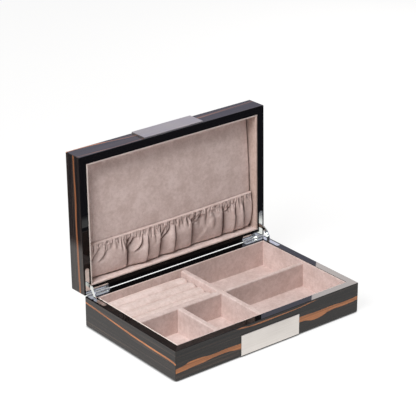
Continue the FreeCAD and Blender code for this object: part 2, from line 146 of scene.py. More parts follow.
# Creases that branch from the valleys: places across and below the mouth, a share of the depth, which is
# below zero for a ridge, and a softness
creases = (
    (((-0.1185, 0.0055), (-0.1237, 0.0124), (-0.1288, 0.0193), (-0.1335, 0.0265)), 0.7, 1.5),
    (((-0.1073, 0.0066), (-0.1090, 0.0158), (-0.1150, 0.0233), (-0.1219, 0.0285)), 0.7, 1.7),
    (((-0.1020, 0.0066), (-0.1024, 0.0140)), 0.3, 1.0),
    (((-0.0944, 0.0066), (-0.0940, 0.0170)), 0.35, 1.0),
    (((-0.0831, 0.0066), (-0.0806, 0.0147), (-0.0775, 0.0239)), 0.8, 1.35),
    (((-0.0780, 0.0066), (-0.0754, 0.0158)), 0.5, 1.0),
    (((-0.0719, 0.0066), (-0.0740, 0.0135)), 0.6, 1.35),
    (((-0.0668, 0.0090), (-0.0693, 0.0158), (-0.0728, 0.0199)), 0.9, 1.35),
    (((-0.0526, 0.0072), (-0.0533, 0.0147), (-0.0564, 0.0227), (-0.0633, 0.0290)), 0.8, 1.35),
    (((-0.0375, 0.0066), (-0.0375, 0.0147)), 0.45, 1.0),
    (((-0.0323, 0.0066), (-0.0326, 0.0158)), 0.5, 1.0),
    (((-0.0280, 0.0060), (-0.0245, 0.0135)), 0.5, 1.0),
    (((-0.0142, 0.0066), (-0.0159, 0.0147), (-0.0202, 0.0216)), 0.8, 1.35),
    (((-0.0078, 0.0060), (-0.0085, 0.0147), (-0.0142, 0.0210), (-0.0206, 0.0262)), 0.85, 1.35),
    (((0.0108, 0.0066), (0.0088, 0.0135)), 0.5, 1.0),
    (((0.0151, 0.0055), (0.0163, 0.0110)), 0.4, 1.0),
    (((0.0203, 0.0050), (0.0229, 0.0124)), 0.5, 1.0),
    (((0.0250, 0.0038), (0.0289, 0.0100), (0.0320, 0.0158)), 0.85, 1.35),
    (((0.0358, 0.0066), (0.0336, 0.0124)), 0.6, 1.35),
    (((0.0419, 0.0078), (0.0367, 0.0147)), 0.6, 1.35),
    (((0.0467, 0.0090), (0.0427, 0.0147), (0.0358, 0.0184)), 0.9, 1.35),
    (((0.0557, 0.0066), (0.0539, 0.0112)), 0.4, 1.0),
    (((0.0600, 0.0066), (0.0612, 0.0124)), 0.4, 1.0),
    (((0.0651, 0.0066), (0.0690, 0.0130), (0.0712, 0.0204), (0.0703, 0.0330)), 0.5, 2.2),
    (((0.0660, 0.0180), (0.0575, 0.0310), (0.0450, 0.0460)), -0.22, 2.6),
    (((0.0738, 0.0055), (0.0767, 0.0112)), 0.5, 1.0),
    (((0.0789, 0.0066), (0.0801, 0.0135)), 0.4, 1.0),
    (((0.0936, 0.0066), (0.0910, 0.0124)), 0.5, 1.0),
    (((0.1013, 0.0072), (0.0962, 0.0124), (0.0901, 0.0164)), 0.85, 1.35),
    (((0.1143, 0.0060), (0.1160, 0.0135)), 0.5, 1.0),
    (((0.1246, 0.0060), (0.1238, 0.0110)), 0.4, 1.0),
    (((0.1298, 0.0055), (0.1332, 0.0124)), 0.5, 1.0),
)

# Ring rolls
roll_end_round = 0.0045
roll_end_narrow_share = 0.2
roll_end_sink = 0.0026
roll_shoulder = 0.0066
roll_spread = 0.0002
roll_wave = 0.00016
roll_wave_rate = 9
roll_wave_shift = 2.1
roll_sag = 0.0005
roll_top_power = 0.9
roll_rows = 97
roll_columns = 41
roll_count = 4

# Camera, solved from the edges of the box
camera_place = (-1.33847, -1.63840, 1.09064)
camera_azimuth = -38.72
camera_elevation = 23.75
camera_lens = 155.5
camera_sensor = 36.0
camera_reach = 50

# Lamps: place, target, size, power and tint
key_lamp = ((-1.25, -0.38, 1.53), (0, 0, 0.08), 0.95, 39.0, (1, 1, 1))
rim_lamp = ((1.14, 0.63, 0.60), (0.1, -0.05, 0.05), 0.6, 4.3, (1, 0.91, 0.84))

# Colours
ebony_dark = (0.006, 0.0048, 0.0042, 1)
ebony_mid = (0.020, 0.0145, 0.012, 1)
ebony_pale = (0.085, 0.058, 0.043, 1)
sapwood = (0.60, 0.225, 0.08, 1)
sapwood_dark = (0.27, 0.092, 0.033, 1)
lid_left_wood = ((0.33, 0.124, 0.05, 1), (0.15, 0.052, 0.022, 1))
lid_front_wood = ((0.22, 0.105, 0.06, 1), (0.11, 0.047, 0.028, 1))
# Deep tone of the painted shade in the pocket's creases and along the pad's seams
painted_shade_tone = (0.15, 0.10, 0.088, 1)
suede_dark = (0.58, 0.447, 0.410, 1)
suede_pale = (0.74, 0.605, 0.572, 1)
# Painted highlights along the linings' rim edges
base_edge_highlight = (0.92, 0.80, 0.74, 1)
left_edge_highlight = (0.90, 0.79, 0.73, 1)
top_edge_highlight = (0.74, 0.62, 0.58, 1)
# Paler copy of the suede: painted light on the up-facing rolls and the lid's back lining
painted_light_suede_dark = (0.66, 0.52, 0.475, 1)
painted_light_suede_pale = (0.82, 0.68, 0.64, 1)
# Darker copy of the suede: painted shade on the lid's right lining
painted_shade_suede_dark = (0.47, 0.345, 0.298, 1)
painted_shade_suede_pale = (0.61, 0.475, 0.425, 1)
lacquer_black = (0.0035, 0.003, 0.003, 1)
steel_tone = (0.79, 0.745, 0.70, 1)
steel_dark = (0.69, 0.645, 0.60, 1)
chrome_dark = (0.70, 0.72, 0.69, 1)
chrome_tone = (0.83, 0.85, 0.82, 1)
felt_dark = (0.018, 0.016, 0.016, 1)
felt_pale = (0.05, 0.045, 0.042, 1)
board_dark = (0.16, 0.10, 0.06, 1)
board_pale = (0.30, 0.21, 0.13, 1)
elastic_dark = (0.40, 0.33, 0.29, 1)
elastic_pale = (0.66, 0.58, 0.53, 1)

# Ebony veneer: grain in cycles to the metre across, its share of the grain along, and its detail
grain_fine = (1500.0, 1.0, 3.0)
grain_lines = (520.0, 0.5, 3.0)
grain_bands = (150.0, 0.3, 2.0)
grain_along = 9.0
grain_roughness = 0.6
band_limits = (0.3, 0.7)
band_least_share = 0.35
line_limits = (0.46, 0.68)
fine_limits = (0.3, 0.6)
fine_least_share = 0.45
streak_line_limits = (0.40, 0.66)
streak_fine_limits = (0.25, 0.6)
streak_fine_least_share = 0.4
streak_feather = 0.00045
streak_wander = 0.0016
noise_middle = 0.5
side_facing = 0.5
rim_edge = 0.0006
rim_fade = 0.0003
base_left_rim_coat = 0.55
lid_back_rim_coat = 0.3
veneer_limits = (0.3, 0.8)
veneer_roughness = (0.3, 0.42)
lacquer_roughness = 0.02
lacquer_ior = 1.43
grain_relief = 0.00002

# Suede: scale, detail and roughness of its nap, mottle and patches, and their shares of the tone
suede_nap = (1300.0, 3.0, 0.65)
suede_mottle = (230.0, 3.0, 0.6)
suede_patches = (52.0, 4.0, 0.6)
nap_share = 0.34
mottle_share = 0.3
patch_share = 0.36
suede_limits = (0.385, 0.615)
suede_roughness = 0.96
suede_sheen = 0.15
suede_sheen_roughness = 0.55
suede_sheen_tint = (1.0, 0.9, 0.86, 1)
suede_shine = 0.12
mottle_relief_share = 0.8
suede_relief = 0.0002
# Depth below the rim and fade of the painted highlight along the linings' rim edges
lining_highlight_depth = 0.0009
lining_highlight_fade = 0.0007

# Metal: cycles to the metre along each axis
steel_lines = (16.0, 3200.0, 3200.0)
steel_line_limits = (0.3, 0.7)
steel_cloud = (30.0, 2.0)
chrome_marks = (900.0, 160.0, 900.0)
metal_detail = 3.0
metal_line_roughness = 0.6
metal_limits = (0.2, 0.8)
steel_roughness = (0.3, 0.42)
chrome_roughness = (0.07, 0.2)
metal_relief = 0.00001
chrome_relief_strength = 0.4

# Felt, board and tape: cycles of the fibres to the metre, and roughness
board_fibres = (700.0, 0.85)
felt_fibres = (1600.0, 0.98)
tape_fibres = (1200.0, 0.9)
fibre_detail = 4.0
fibre_roughness = 0.7
fibre_limits = (0.3, 0.7)
fibre_relief = 0.0002
relief_strength = 0.5

# Floor, with the edges of the white paper that polished pieces see, and sky
floor_half = 6.0
floor_tone = (0.82, 0.82, 0.82, 1)
floor_shade = (0.18, 0.18, 0.18, 1)
floor_glow = (0.865, 0.865, 0.865, 1)
floor_far = (0.10, 0.10, 0.135, 1)
# Painted contact shadow: reach of the occlusion, and the levels where the floor's glow is darkest and clear
contact_shadow_reach = 0.006
contact_shadow_dark = 0.3
contact_shadow_clear = 0.85
paper_left = -0.288
paper_right = 0.26
paper_front = -0.21
paper_fade = 0.012
black = (0, 0, 0, 1)
white = (1, 1, 1, 1)
sky_light = (0.22, 0.22, 0.22, 1)
# Sky that polished pieces see, by the height of the ray
sky_mirrored = (
    (0.0, (0.05, 0.05, 0.07, 1)), (0.22, (0.10, 0.10, 0.13, 1)), (0.34, (0.62, 0.62, 0.80, 1)),
    (0.50, (0.70, 0.70, 0.86, 1)), (0.62, (0.16, 0.16, 0.19, 1)), (0.74, (0.22, 0.22, 0.25, 1)),
    (0.86, white), (1.0, white))

# Hinge axis and the turn from closed to open
hinge = next(joint for joint in frame["joints"] if joint["name"] == "lid_hinge")
hinge_y, hinge_z = hinge["pos_m"][Y], hinge["pos_m"][Z]
lid_turn = math.radians(hinge["range_deg"][1])
parting_z = hinge_z


def turned(points, angle):
    """Points turned about the hinge axis, which runs along X."""
    y, z = points[..., Y] - hinge_y, points[..., Z] - hinge_z
    cos, sin = math.cos(angle), math.sin(angle)
    return np.stack([points[..., X], hinge_y + y * cos - z * sin, hinge_z + y * sin + z * cos], axis=-1)


def opened(x, y, z):
    """Places of the closed layout as points of the open lid."""
    return turned(np.stack(np.broadcast_arrays(x, y, z), axis=-1), -lid_turn)


def closed_box(name):
    """Lowest and highest corner of a lid node in the closed layout."""
    mesh = nodes[name].data
    points = np.empty(len(mesh.vertices) * 3)
    mesh.vertices.foreach_get("co", points)
    points = turned(points.reshape(-1, 3), lid_turn)
    return points.min(axis=0), points.max(axis=0)


def smooth(values):
    """Smooth step from 0 to 1 of values that run from 0 to 1."""
    share = np.clip(values, 0, 1)
    return share * share * (3 - 2 * share)


def quarter(values):
    """Quarter circle: rises steeply from 0 and levels off at 1."""
    return np.sqrt(1 - (1 - np.clip(values, 0, 1)) ** 2)


def grid_faces(rows, columns):
    """Quads between the neighbours of a grid of points, row after row."""
    index = np.arange(rows * columns).reshape(rows, columns)
    corners = [index[:-1, :-1], index[:-1, 1:], index[1:, 1:], index[1:, :-1]]
    return np.stack(corners, axis=-1).reshape(-1, 4)


def make_piece(name, points, faces, material, body):
    """Mesh object from points and faces, smooth, with its faces pointing outwards, riding on a body."""
    mesh = bpy.data.meshes.new(name)
    mesh.from_pydata(points.reshape(-1, 3).tolist(), [], faces)
    shape = bmesh.new()
    shape.from_mesh(mesh)
    bmesh.ops.recalc_face_normals(shape, faces=shape.faces)
    shape.to_mesh(mesh)
    shape.free()
    mesh.shade_smooth()
    mesh.materials.append(material)
    made = bpy.data.objects.new(name, mesh)
    bpy.context.collection.objects.link(made)
    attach(made, body)
    return made


def store_painted_shade(made, values):
    """Store the painted shade of each point, from 0 to 1, which darkens the suede's colour towards a deep
    tone.
    """
    shade = made.data.attributes.new("crease", "FLOAT", "POINT")
    shade.data.foreach_set("value", values)


# Materials
class Finish:
    """A node material under construction, with its shader and its Object coordinates."""

    def __init__(self, name):
        self.material = bpy.data.materials.new(name)
        self.material.use_nodes = True
        self.tree = self.material.node_tree
        self.shader = self.tree.nodes["Principled BSDF"]
        self.place = self.add("TexCoord", output="Object")

    def add(self, kind, sockets=None, output=0, **settings):
        """A node with settings and with input sockets given as values or as other nodes' outputs."""
        node = self.tree.nodes.new("ShaderNode" + kind)
        for key, value in settings.items():
            setattr(node, key, value)
        for key, value in (sockets or {}).items():
            self.put(node, key, value)
        return node.outputs[output]

    def put(self, node, key, value):
        """Set an input socket, or link it to an output."""
        if isinstance(value, bpy.types.NodeSocket):
            self.tree.links.new(value, node.inputs[key])
        else:
            node.inputs[key].default_value = value

    def set(self, **values):
        """Set the shader's sockets; an underscore in a name stands for a space."""
        for key, value in values.items():
            self.put(self.shader, key.replace("_", " "), value)

    def sums(self, operation, *values):
        """Arithmetic on one, two or three values."""
        return self.add("Math", dict(enumerate(values)), operation=operation)

    def stretched(self, scale, place=None):
        """Coordinates scaled differently along each axis."""
        return self.add("Mapping", {"Vector": place or self.place, "Scale": scale})

    def noise(self, scale, detail=2.0, place=None, roughness=0.5):
        """Soft noise from 0 to 1, with scale in cycles to the metre."""
        return self.add("TexNoise", {"Vector": place or self.place, "Scale": scale, "Detail": detail,
                                     "Roughness": roughness})

    def ramp(self, value, low, high, to_low=0.0, to_high=1.0):
        """Smooth step of a value between two limits."""
        return self.add("MapRange", {"Value": value, "From Min": low, "From Max": high,
                                     "To Min": to_low, "To Max": to_high}, interpolation_type="SMOOTHSTEP")

    def mix(self, share, first, second):
        """Blend of two colours."""
        return self.add("MixRGB", {"Fac": share, "Color1": first, "Color2": second})

    def bump(self, height, distance, strength=1.0):
        """Fine relief on the shader's normal."""
        normal = self.add("Bump", {"Height": height, "Distance": distance, "Strength": strength})
        self.set(Normal=normal)

    def curve(self, value, points):
        """Smooth curve through a few points whose places and values run from 0 to 1."""
        node = self.tree.nodes.new("ShaderNodeFloatCurve")
        line = node.mapping.curves[0]
        for share, height in points[1:-1]:
            line.points.new(share, height)
        line.points[0].location = points[0]
        line.points[-1].location = points[-1]
        node.mapping.update()
        self.put(node, "Value", value)
        return node.outputs[0]


def layout_place(finish, in_lid):
    """Object coordinates, turned back into the closed layout for a piece of the lid."""
    if not in_lid:
        return finish.place
    shift = turned(np.zeros(3), lid_turn).tolist()
    return finish.add("Mapping", {"Vector": finish.place, "Rotation": (lid_turn, 0, 0), "Location": shift})


def axis_parts(finish, place):
    """The three coordinates of a place."""
    split = finish.tree.nodes.new("ShaderNodeSeparateXYZ")
    finish.put(split, "Vector", place)
    return [split.outputs[axis] for axis in (X, Y, Z)]


def off_rim(finish, parts):
    """Distance from the plane between the base and the lid."""
    return finish.sums("ABSOLUTE", finish.sums("SUBTRACT", parts[Z], parting_z))


def streak_mask(finish, parts, wander, streak):
    """Band of pale wood: between a lower and an upper line drawn along the grain, kept to one face."""
    along, across, depth = streak["axes"]
    rows = np.array(streak["rows"])
    start, end = rows[0, 0], rows[-1, 0]
    low, high = rows[:, 1:].min(), rows[:, 1:].max()
    share = finish.sums("DIVIDE", finish.sums("SUBTRACT", parts[along], float(start)), float(end - start))
    height = finish.sums("ADD", parts[across], wander)
    shares = (rows[:, 0] - start) / (end - start)
    edges = []
    for column in (1, 2):
        heights = (rows[:, column] - low) / (high - low)
        line = finish.curve(share, list(zip(shares.tolist(), heights.tolist())))
        line = finish.sums("MULTIPLY_ADD", line, float(high - low), float(low))
        edges.append(finish.sums("SUBTRACT", height, line))
    inside = finish.sums("MULTIPLY", finish.ramp(edges[0], -streak_feather, streak_feather),
                         finish.ramp(edges[1], -streak_feather, streak_feather, 1.0, 0.0))
    near, far = streak["kept"]
    kept = finish.sums("MULTIPLY", finish.sums("GREATER_THAN", parts[depth], near),
                       finish.sums("LESS_THAN", parts[depth], far))
    return finish.sums("MULTIPLY", inside, kept)


def grain(finish, place, along, scale, along_share, detail):
    """Noise that is drawn out along one axis, as the grain of wood is."""
    scales = [grain_along * along_share if axis == along else scale for axis in (X, Y, Z)]
    return finish.noise(1.0, detail, finish.stretched(scales, place), grain_roughness)


def ebony(name, along, streaks, in_lid=False, wrapped=False, wood=(sapwood, sapwood_dark), rim_coat=1.0):
    """High-gloss ebony veneer: fine pale lines along the grain, gathered in broader bands, and streaks of
    pale wood. The grain of a wrapped panel follows its ends too. The rim is plain black, with a weaker gloss
    where a rim coat is given."""
    finish = Finish(name)
    place = layout_place(finish, in_lid)
    parts = axis_parts(finish, place)
    grain_place = place
    if wrapped:
        normal = axis_parts(finish, finish.add("TexCoord", output="Normal"))
        on_side = finish.sums("GREATER_THAN", finish.sums("ABSOLUTE", normal[X]), side_facing)
        swapped = finish.add("CombineXYZ", {X: parts[Y], Y: parts[X], Z: parts[Z]})
        grain_place = finish.mix(on_side, place, swapped)
    fine, lines, band = (grain(finish, grain_place, along, *values)
                         for values in (grain_fine, grain_lines, grain_bands))
    tone = finish.mix(finish.ramp(band, *band_limits), ebony_dark, ebony_mid)
    in_band = finish.ramp(band, *band_limits, band_least_share, 1.0)
    pale = finish.sums("MULTIPLY", finish.ramp(lines, *line_limits), in_band)
    pale = finish.sums("MULTIPLY", pale, finish.ramp(fine, *fine_limits, fine_least_share, 1.0))
    tone = finish.mix(pale, tone, ebony_pale)
    if streaks:
        wander = finish.sums("MULTIPLY", finish.sums("SUBTRACT", lines, noise_middle), streak_wander)
        masks = [streak_mask(finish, parts, wander, streak) for streak in streaks]
        mask = masks[0]
        for other in masks[1:]:
            mask = finish.sums("MAXIMUM", mask, other)
        streaky = finish.sums("MULTIPLY", finish.ramp(lines, *streak_line_limits),
                              finish.ramp(fine, *streak_fine_limits, streak_fine_least_share, 1.0))
        pale = finish.mix(streaky, *wood)
        tone = finish.mix(mask, tone, pale)
    off = off_rim(finish, parts)
    tone = finish.mix(finish.ramp(off, rim_edge, rim_edge + rim_fade), lacquer_black, tone)
    coat = finish.ramp(off, rim_edge, rim_edge + rim_fade, rim_coat, 1.0) if rim_coat < 1 else 1.0
    finish.set(Base_Color=tone, Roughness=finish.ramp(fine, *veneer_limits, *veneer_roughness),
               Coat_Weight=coat, Coat_Roughness=lacquer_roughness, Coat_IOR=lacquer_ior,
               Specular_IOR_Level=0.0)
    finish.bump(fine, grain_relief, relief_strength)
    return finish.material


def suede(name, dark, pale, painted_crease_shade=False, edge=None, in_lid=False):
    """Brushed suede: a fine nap over mottled patches that lie lighter or darker, with painted shade in its
    creases and a painted highlight along the rim edge of a lining."""
    finish = Finish(name)
    nap, mottle, patches = (finish.noise(scale, detail, roughness=roughness)
                            for scale, detail, roughness in (suede_nap, suede_mottle, suede_patches))
    share = finish.sums("ADD", finish.sums("MULTIPLY", nap, nap_share),
                        finish.sums("MULTIPLY", mottle, mottle_share))
    share = finish.sums("ADD", share, finish.sums("MULTIPLY", patches, patch_share))
    tone = finish.mix(finish.ramp(share, *suede_limits), dark, pale)
    if painted_crease_shade:
        # Painted shade: the crease attribute darkens the tone towards a deep brown
        crease = finish.add("Attribute", output="Fac", attribute_name="crease")
        tone = finish.mix(crease, tone, painted_shade_tone)
    if edge:
        # Painted highlight: a paler tone along the lining's rim edge
        off = off_rim(finish, axis_parts(finish, layout_place(finish, in_lid)))
        tone = finish.mix(finish.ramp(off, lining_highlight_depth, lining_highlight_depth + lining_highlight_fade), edge, tone)
    finish.set(Base_Color=tone, Roughness=suede_roughness, Sheen_Weight=suede_sheen,
               Sheen_Roughness=suede_sheen_roughness, Sheen_Tint=suede_sheen_tint,
               Specular_IOR_Level=suede_shine)
    relief = finish.sums("ADD", nap, finish.sums("MULTIPLY", mottle, mottle_relief_share))
    finish.bump(relief, suede_relief, relief_strength)
    return finish.material


def satin_steel(name):
    """Satin steel, brushed along its length with fine uneven lines."""
    finish = Finish(name)
    lines = finish.noise(1.0, metal_detail, finish.stretched(steel_lines), metal_line_roughness)
    cloud = finish.noise(*steel_cloud)
    tone = finish.mix(finish.ramp(lines, *steel_line_limits), steel_dark, steel_tone)
    finish.set(Base_Color=tone, Metallic=1.0, Roughness=finish.ramp(cloud, *metal_limits, *steel_roughness))
    finish.bump(lines, metal_relief, relief_strength)
    return finish.material


def chrome(name):
    """Polished chrome with faint wipe marks."""
    finish = Finish(name)
    marks = finish.noise(1.0, metal_detail, finish.stretched(chrome_marks), metal_line_roughness)
    finish.set(Base_Color=finish.mix(marks, chrome_dark, chrome_tone), Metallic=1.0,
               Roughness=finish.ramp(marks, *metal_limits, *chrome_roughness))
    finish.bump(marks, metal_relief, chrome_relief_strength)
    return finish.material


def speckled(name, dark, pale, scale, roughness):
    """Matt material of mixed fibres, such as felt, board or woven tape."""
    finish = Finish(name)
    fibres = finish.noise(scale, fibre_detail, roughness=fibre_roughness)
    finish.set(Base_Color=finish.mix(finish.ramp(fibres, *fibre_limits), dark, pale), Roughness=roughness)
    finish.bump(fibres, fibre_relief, relief_strength)
    return finish.material


def wall_streak(axes, kept, rows):
    """Streak in a wall: its axes along, across and through the face, the two depths that it is kept between,
    and rows of place along the grain, lower line and upper line. It ends where its lines cross."""
    return {"axes": axes, "kept": kept, "rows": rows}


# Streaks of pale wood: the depths that they are kept between, then their lines, wall by wall
everywhere = (-1.0, 1.0)
front_skin = (-1.0, -0.085)
panel_skin = (-1.0, -0.0957)
lid_top_skin = (0.0721, 1.0)
base_front_streaks = (
    wall_streak((X, Z, Y), front_skin, (
        (-0.153, 0.0110, 0.0172), (-0.138, 0.0116, 0.0192), (-0.126, 0.0124, 0.0212),
        (-0.111, 0.0126, 0.0206), (-0.093, 0.0143, 0.0192), (-0.072, 0.0143, 0.0200),
        (-0.047, 0.0116, 0.0193), (0.054, 0.0168, 0.0243), (0.077, 0.0130, 0.0236),
        (0.110, 0.0180, 0.0236), (0.127, 0.0174, 0.0227), (0.153, 0.0200, 0.0240))),
    wall_streak((X, Z, Y), front_skin, (
        (-0.062, 0.0420, 0.0405), (-0.050, 0.0402, 0.0412), (-0.032, 0.0380, 0.0397),
        (-0.019, 0.0374, 0.0398), (0.012, 0.0376, 0.0393), (0.044, 0.0382, 0.0393),
        (0.070, 0.0398, 0.0406), (0.090, 0.0420, 0.0405))),
)
base_left_streaks = (
    wall_streak((Y, Z, X), everywhere, (
        (-0.096, 0.0226, 0.0252), (-0.086, 0.0240, 0.0266), (-0.050, 0.0250, 0.0276),
        (0.0, 0.0270, 0.0296), (0.047, 0.0306, 0.0330), (0.096, 0.0336, 0.0360))),
)
lid_left_streaks = (
    wall_streak((Y, Z, X), everywhere, (
        (-0.096, 0.0545, 0.0572), (-0.067, 0.0538, 0.0568), (-0.035, 0.0526, 0.0558),
        (-0.004, 0.0535, 0.0566), (0.024, 0.0527, 0.0560), (0.061, 0.0521, 0.0555),
        (0.096, 0.0510, 0.0544))),
)
lid_front_streaks = (
    wall_streak((X, Z, Y), front_skin, (
        (-0.153, 0.0701, 0.0722), (-0.121, 0.0695, 0.0716), (-0.097, 0.0667, 0.0690),
        (-0.074, 0.0633, 0.0660), (-0.048, 0.0606, 0.0634), (0.048, 0.0592, 0.0638),
        (0.088, 0.0608, 0.0645), (0.123, 0.0626, 0.0653), (0.153, 0.0648, 0.0668))),
    wall_streak((X, Z, Y), front_skin, (
        (-0.153, 0.0472, 0.0484), (-0.118, 0.0457, 0.0472), (-0.092, 0.0449, 0.0462),
        (-0.048, 0.0459, 0.0468), (0.02, 0.0470, 0.0455))),
)
# The last streak of the top carries the front wall's on over the panel's front edge
lid_top_streaks = (
    wall_streak((X, Y, Z), lid_top_skin, (
        (-0.153, -0.052, -0.047), (-0.08, -0.049, -0.042), (0.0, -0.055, -0.046),
        (0.09, -0.05, -0.043), (0.153, -0.046, -0.042))),
    wall_streak((X, Y, Z), lid_top_skin, (
        (-0.153, 0.021, 0.024), (-0.06, 0.026, 0.033), (0.03, 0.024, 0.034),
        (0.11, 0.030, 0.035), (0.153, 0.029, 0.031))),
    wall_streak((X, Z, Y), panel_skin, lid_front_streaks[0]["rows"]),
)
base_right_streaks = (
    wall_streak((Y, Z, X), everywhere, (
        (-0.096, 0.0200, 0.0238), (-0.04, 0.0186, 0.0218), (0.02, 0.0214, 0.0240),
        (0.096, 0.0228, 0.0246))),
)
base_back_streaks = (
    wall_streak((X, Z, Y), everywhere, (
        (-0.153, 0.0286, 0.0302), (-0.08, 0.0252, 0.0290), (0.0, 0.0266, 0.0318),
        (0.09, 0.0240, 0.0282), (0.153, 0.0228, 0.0246))),
)
lid_right_streaks = (
    wall_streak((Y, Z, X), everywhere, (
        (-0.096, 0.0560, 0.0586), (-0.02, 0.0546, 0.0576), (0.05, 0.0556, 0.0580),
        (0.096, 0.0540, 0.0562))),
)
lid_back_streaks = (
    wall_streak((X, Z, Y), everywhere, (
        (-0.153, 0.0510, 0.0544), (-0.06, 0.0528, 0.0574), (0.04, 0.0522, 0.0558),
        (0.153, 0.0540, 0.0562))),
)

# The pad shares the pocket's suede with its painted crease shade; the rolls and the lid's back lining a
# paler copy of the suede that paints light on their upward faces
suede_cloth = suede("suede_cloth", suede_dark, suede_pale)
crease_shaded_suede = suede("crease_shaded_suede", suede_dark, suede_pale, painted_crease_shade=True)
painted_light_suede = suede("painted_light_suede", painted_light_suede_dark, painted_light_suede_pale)
painted_shade_suede = suede("painted_shade_suede", painted_shade_suede_dark, painted_shade_suede_pale)
base_left_suede = suede("base_left_suede", suede_dark, suede_pale, edge=base_edge_highlight)
lid_left_suede = suede("lid_left_suede", suede_dark, suede_pale, edge=left_edge_highlight, in_lid=True)
lid_front_suede = suede("lid_front_suede", suede_dark, suede_pale, edge=top_edge_highlight, in_lid=True)
finishes = {
    "base_front_wall": ebony("ebony_base_front", X, base_front_streaks),
    "base_back_wall": ebony("ebony_base_back", X, base_back_streaks),
    "base_left_wall": ebony("ebony_base_left", Y, base_left_streaks, rim_coat=base_left_rim_coat),
    "base_right_wall": ebony("ebony_base_right", Y, base_right_streaks),
    "lid_front_wall": ebony("ebony_lid_front", X, lid_front_streaks, in_lid=True, wood=lid_front_wood),
    "lid_back_wall": ebony("ebony_lid_back", X, lid_back_streaks, in_lid=True, rim_coat=lid_back_rim_coat),
    "lid_left_wall": ebony("ebony_lid_left", Y, lid_left_streaks, in_lid=True, wood=lid_left_wood),
    "lid_right_wall": ebony("ebony_lid_right", Y, lid_right_streaks, in_lid=True),
    "base_lining_left": base_left_suede,
    "lid_lining_front": lid_front_suede,
    "lid_lining_back": painted_light_suede,
    "lid_lining_left": lid_left_suede,
    # Painted shade: the right lining takes the darker copy of the suede
    "lid_lining_right": painted_shade_suede,
    "lid_top_panel": ebony("ebony_lid_top", X, lid_top_streaks, in_lid=True, wrapped=True),
}
slot_finishes = {
    "board": speckled("board", board_dark, board_pale, *board_fibres),
    "felt": speckled("felt", felt_dark, felt_pale, *felt_fibres),
    "satin_steel": satin_steel("satin_steel"),
    "suede": suede_cloth,
    "elastic": speckled("elastic_tape", elastic_dark, elastic_pale, *tape_fibres),
    "chrome": chrome("chrome"),
}
slot_words = {
    "suede": ("lining", "divider"),
    "satin_steel": ("plate",),
    "chrome": ("leaf", "pin", "stay", "screws"),
    "felt": ("felt",),
    "elastic": ("elastic",),
    "board": ("panel", "board"),
}


def node_finish(name):
    """Finish of a node of the model: its own, or the one that a word in its name calls for."""
    if name in finishes:
        return finishes[name]
    for slot, words in slot_words.items():
        if any(word in name for word in words):
            return slot_finishes[slot]
    return suede_cloth


for name, node in nodes.items():
    node.data.materials.clear()
    node.data.materials.append(node_finish(name))


# Lid pad
pad_half_x, pad_half_y, pad_back_z = closed_box("lid_pad")[1]


def pad_face(x, y):
    """Height of the pad's face in the closed layout, where the padding hangs down: lowest near the pocket's
    mouth, drawn back by a parabola to either side, with a crown across."""
    fall = np.where(y < pad_high_y, pad_fall_to_front, pad_fall_to_hinge)
    edge = pad_back_z - pad_edge_thickness + fall * ((y - pad_high_y) / pad_fall_length) ** 2
    return edge - pad_crown * (1 - (x / pad_half_x) ** 2)


def lid_pad():
    """Padded panel: the crowned face on a grid that is finer towards its edges, which turn back by a quarter
    circle, then a skirt straight back to the board and a flat back. Painted shade darkens its side seams
    and its back."""
    across, down = np.meshgrid(np.sin(np.linspace(-1, 1, pad_columns) * math.pi / 2),
                               np.sin(np.linspace(-1, 1, pad_rows) * math.pi / 2))
    x = across * (pad_half_x - pad_draw * (1 - down ** 2))
    y = down * (pad_half_y - pad_draw * (1 - across ** 2))
    inset_x = (1 - np.abs(across)) * pad_half_x
    inset_y = (1 - np.abs(down)) * pad_half_y
    edge = quarter(inset_x / pad_edge_round) + quarter(inset_y / pad_edge_round) - 1
    rate, bend, drift = pad_wave_across
    wave_across = np.sin(x * rate + bend * np.sin(y * drift))
    rate, bend, drift = pad_wave_down
    ripple = wave_across * np.cos(y * rate + bend * np.sin(x * drift))
    z = pad_face(x, y) + pad_edge_round * (1 - np.clip(edge, 0, 1)) + pad_ripple * ripple
    rows, columns = x.shape
    index = np.arange(x.size).reshape(x.shape)
    loop = np.concatenate([index[0, :-1], index[:-1, -1], index[-1, :0:-1], index[:0:-1, 0]])
    face = np.stack([x, y, z], axis=-1).reshape(-1, 3)
    back = face[loop]
    back[:, Z] = pad_back_z
    points = np.concatenate([face, back])
    ring = x.size + np.arange(len(loop))
    skirt = np.stack([loop, ring, np.roll(ring, -1), np.roll(loop, -1)], axis=-1)
    faces = grid_faces(rows, columns).tolist() + skirt.tolist() + [ring.tolist()]
    made = make_piece("lid_pad_cushion", opened(*points.T), faces, crease_shaded_suede, "lid")
    # Painted shade along the side seams, and full painted shade on the skirt and back
    seam = (1 - smooth(inset_x / pad_seam)).ravel()
    store_painted_shade(made, np.concatenate([seam, np.ones(len(loop))]))
    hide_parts("lid_pad")


# Gathered pocket
mouth_y = closed_box("pocket_casing")[0][Y]
seam_y = mouth_y + hem_height
pocket_half_x, bottom_y = closed_box("lid_pocket")[1][:2]


def fold_columns():
    """Fold number and place within the fold of each column, in step with the folds' widths."""
    widths = np.diff(np.array(valley_mouth_shares) + np.array(valley_bottom_shares)) / 2 * pocket_half_x
    counts = np.maximum(np.round(widths / pocket_column).astype(int), fold_least_columns)
    number = np.repeat(np.arange(len(counts)), counts)
    within = np.concatenate([np.arange(count) / count for count in counts])
    return np.append(number, len(counts) - 1), np.append(within, 1.0)


